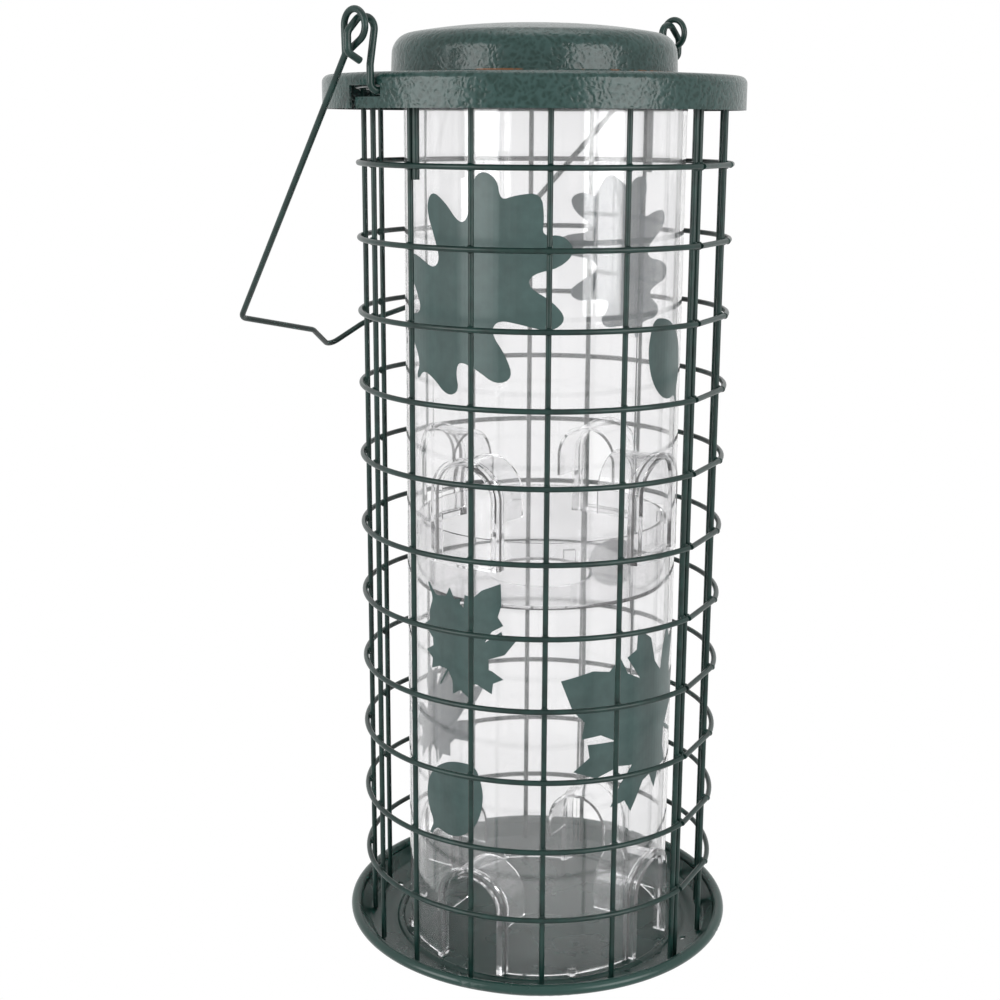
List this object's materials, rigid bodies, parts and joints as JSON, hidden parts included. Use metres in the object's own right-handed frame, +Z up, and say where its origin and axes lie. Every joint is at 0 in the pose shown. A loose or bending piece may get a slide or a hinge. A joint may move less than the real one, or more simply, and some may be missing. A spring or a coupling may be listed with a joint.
{
  "type": "hanging bird feeder",
  "caption": "Clear seed tube with arched feeding doorways inside a round wire cage on a dished tray, with a domed bayonet lid and a swinging wire bail.",
  "frame": {"origin": "centre of the tray's flat underside", "axes": "+Z up along the seed tube; -Y is the front, with the lid's front hook at the left of it"},
  "size_m": [0.1894, 0.1864, 0.3457],
  "materials": {
    "green_sheet": "gloss hammered enamel, dark green",
    "green_wire": "satin plastic-dipped wire, dark green",
    "clear_plastic": "clear polished plastic"
  },
  "bodies": {
    "feeder": {"tray": "green_sheet", "upright_01": "green_wire", "upright_02": "green_wire", "upright_03": "green_wire", "upright_04": "green_wire", "upright_05": "green_wire", "upright_06": "green_wire", "upright_07": "green_wire", "upright_08": "green_wire", "upright_09": "green_wire", "upright_10": "green_wire", "upright_11": "green_wire", "upright_12": "green_wire", "upright_13": "green_wire", "upright_14": "green_wire", "upright_15": "green_wire", "upright_16": "green_wire", "upright_17": "green_wire", "ring_01": "green_wire", "ring_02": "green_wire", "ring_03": "green_wire", "ring_04": "green_wire", "ring_05": "green_wire", "ring_06": "green_wire", "ring_07": "green_wire", "ring_08": "green_wire", "ring_09": "green_wire", "ring_10": "green_wire", "ring_11": "green_wire", "ring_12": "green_wire", "hook_front": "green_wire", "hook_back": "green_wire", "seed_tube": "clear_plastic", "seed_cup": "clear_plastic", "port_lower_1": "clear_plastic", "port_lower_2": "clear_plastic", "port_lower_3": "clear_plastic", "port_lower_4": "clear_plastic", "port_upper_1": "clear_plastic", "port_upper_2": "clear_plastic", "port_upper_3": "clear_plastic", "port_upper_4": "clear_plastic"},
    "lid_cap": {"lid": "green_sheet"},
    "handle": {"bail": "green_wire"}
  },
  "joints": [
    {"name": "lid_turn", "type": "hinge", "parent": "feeder", "child": "lid_cap", "pos_m": [-0.004, 0, 0.316], "axis": [0, 0, 1], "range_deg": [0, 10]},
    {"name": "bail_swing", "type": "hinge", "parent": "feeder", "child": "handle", "pos_m": [-0.00557, -0.00168, 0.3377], "axis": [0.6818, 0.7311, 0.0244], "range_deg": [0, 275]}
  ]
}
